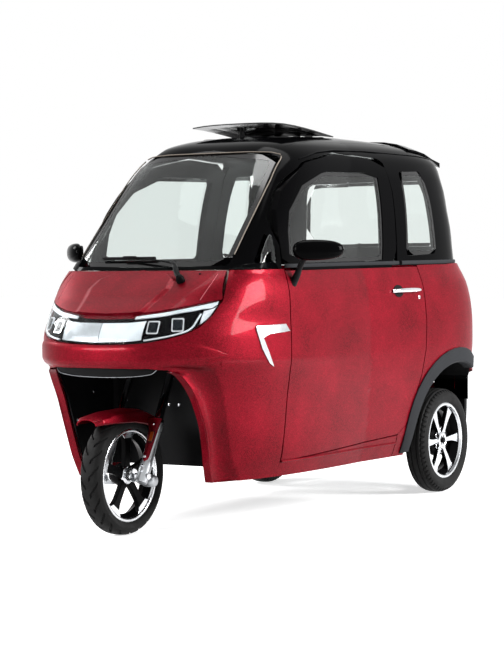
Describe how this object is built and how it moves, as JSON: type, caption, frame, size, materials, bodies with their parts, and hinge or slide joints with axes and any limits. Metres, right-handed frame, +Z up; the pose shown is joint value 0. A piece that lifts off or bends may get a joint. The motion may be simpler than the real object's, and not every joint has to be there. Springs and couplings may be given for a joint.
{
  "type": "electric microcar",
  "caption": "Narrow enclosed three-wheeled electric microcar with a motorcycle fork in front, side doors, full-width lamp band and tilting sunroof.",
  "frame": {"origin": "On the ground, below the middle of the whole vehicle's bounding box.", "axes": "+Z is up. -Y is the way the vehicle drives. +X is the vehicle's left side."},
  "size_m": [1.3428, 2.32, 1.6286],
  "materials": {
    "red_paint": "gloss metallic deep red paint",
    "gloss_black": "gloss black paint",
    "grey_plastic": "dark grey grained plastic",
    "black_plastic": "black moulded plastic",
    "clear_glass": "clear safety glass",
    "lamp_cover": "clear lamp cover over bright reflectors",
    "red_lens": "red lamp lens",
    "chrome": "polished chrome",
    "alloy": "machined and painted aluminium",
    "painted_steel": "satin black chassis paint",
    "tyre_rubber": "black tyre rubber",
    "light_trim": "light warm grey interior plastic",
    "seat_leather": "dark seat covering"
  },
  "bodies": {
    "body": {"arch_moulding_left": "grey_plastic", "arch_moulding_right": "grey_plastic", "battery_box": "painted_steel", "bonnet": "red_paint", "chassis_frame": "painted_steel", "cowl_rail": "gloss_black", "dashboard": "light_trim", "driver_seat": "seat_leather", "floor_pan": "painted_steel", "front_lamps": "lamp_cover", "front_liner": "black_plastic", "front_panel": "red_paint", "quarter_glass_left": "clear_glass", "quarter_glass_right": "clear_glass", "rear_axle": "painted_steel", "rear_body": "red_paint", "rear_bumper": "black_plastic", "rear_glass": "clear_glass", "rear_rail": "gloss_black", "rear_seat": "seat_leather", "roof_panel": "gloss_black", "side_frame_left": "gloss_black", "side_frame_right": "gloss_black", "sill_left": "red_paint", "sill_right": "red_paint", "spoiler": "gloss_black", "tail_lamp_left": "red_lens", "tail_lamp_right": "red_lens", "vent_glass_left": "clear_glass", "vent_glass_right": "clear_glass", "windshield": "clear_glass", "wiper": "black_plastic"},
    "steering": {"fork_upper": "chrome", "fork_lowers": "alloy", "front_mudguard": "red_paint", "handlebar": "black_plastic"},
    "front_wheel": {"front_rim": "alloy", "front_tyre": "tyre_rubber"},
    "rear_wheel_left": {"rear_rim_left": "alloy", "rear_tyre_left": "tyre_rubber"},
    "rear_wheel_right": {"rear_rim_right": "alloy", "rear_tyre_right": "tyre_rubber"},
    "door_left": {"door_panel_left": "red_paint", "door_frame_left": "gloss_black", "door_glass_left": "clear_glass", "door_handle_left": "chrome", "mirror_left": "gloss_black"},
    "door_right": {"door_panel_right": "red_paint", "door_frame_right": "gloss_black", "door_glass_right": "clear_glass", "door_handle_right": "chrome", "mirror_right": "gloss_black"},
    "boot": {"boot_lid": "red_paint"},
    "sunroof": {"sunroof_glass": "clear_glass"}
  },
  "joints": [
    {"name": "steering_turn", "type": "hinge", "parent": "body", "child": "steering", "pos_m": [0, -0.65655, 0.66584], "axis": [0, 0.4695, 0.8829], "range_deg": [-35, 35]},
    {"name": "front_wheel_spin", "type": "hinge", "parent": "steering", "child": "front_wheel", "pos_m": [0, -0.928, 0.232], "axis": [1, 0, 0], "continuous": true},
    {"name": "rear_wheel_left_spin", "type": "hinge", "parent": "body", "child": "rear_wheel_left", "pos_m": [0.4525, 0.857, 0.232], "axis": [1, 0, 0], "continuous": true},
    {"name": "rear_wheel_right_spin", "type": "hinge", "parent": "body", "child": "rear_wheel_right", "pos_m": [-0.4525, 0.857, 0.232], "axis": [1, 0, 0], "continuous": true},
    {"name": "door_left_swing", "type": "hinge", "parent": "body", "child": "door_left", "pos_m": [0.49968, -0.472, 0.262], "axis": [0, 0, -1], "range_deg": [0, 65]},
    {"name": "door_right_swing", "type": "hinge", "parent": "body", "child": "door_right", "pos_m": [-0.49968, -0.472, 0.262], "axis": [0, 0, 1], "range_deg": [0, 65]},
    {"name": "boot_lift", "type": "hinge", "parent": "body", "child": "boot", "pos_m": [0, 1.13687, 0.925], "axis": [1, 0, 0], "range_deg": [0, 80]},
    {"name": "sunroof_close", "type": "hinge", "parent": "body", "child": "sunroof", "pos_m": [0, 0.35, 1.589], "axis": [1, 0, 0], "range_deg": [0, 7]}
  ]
}
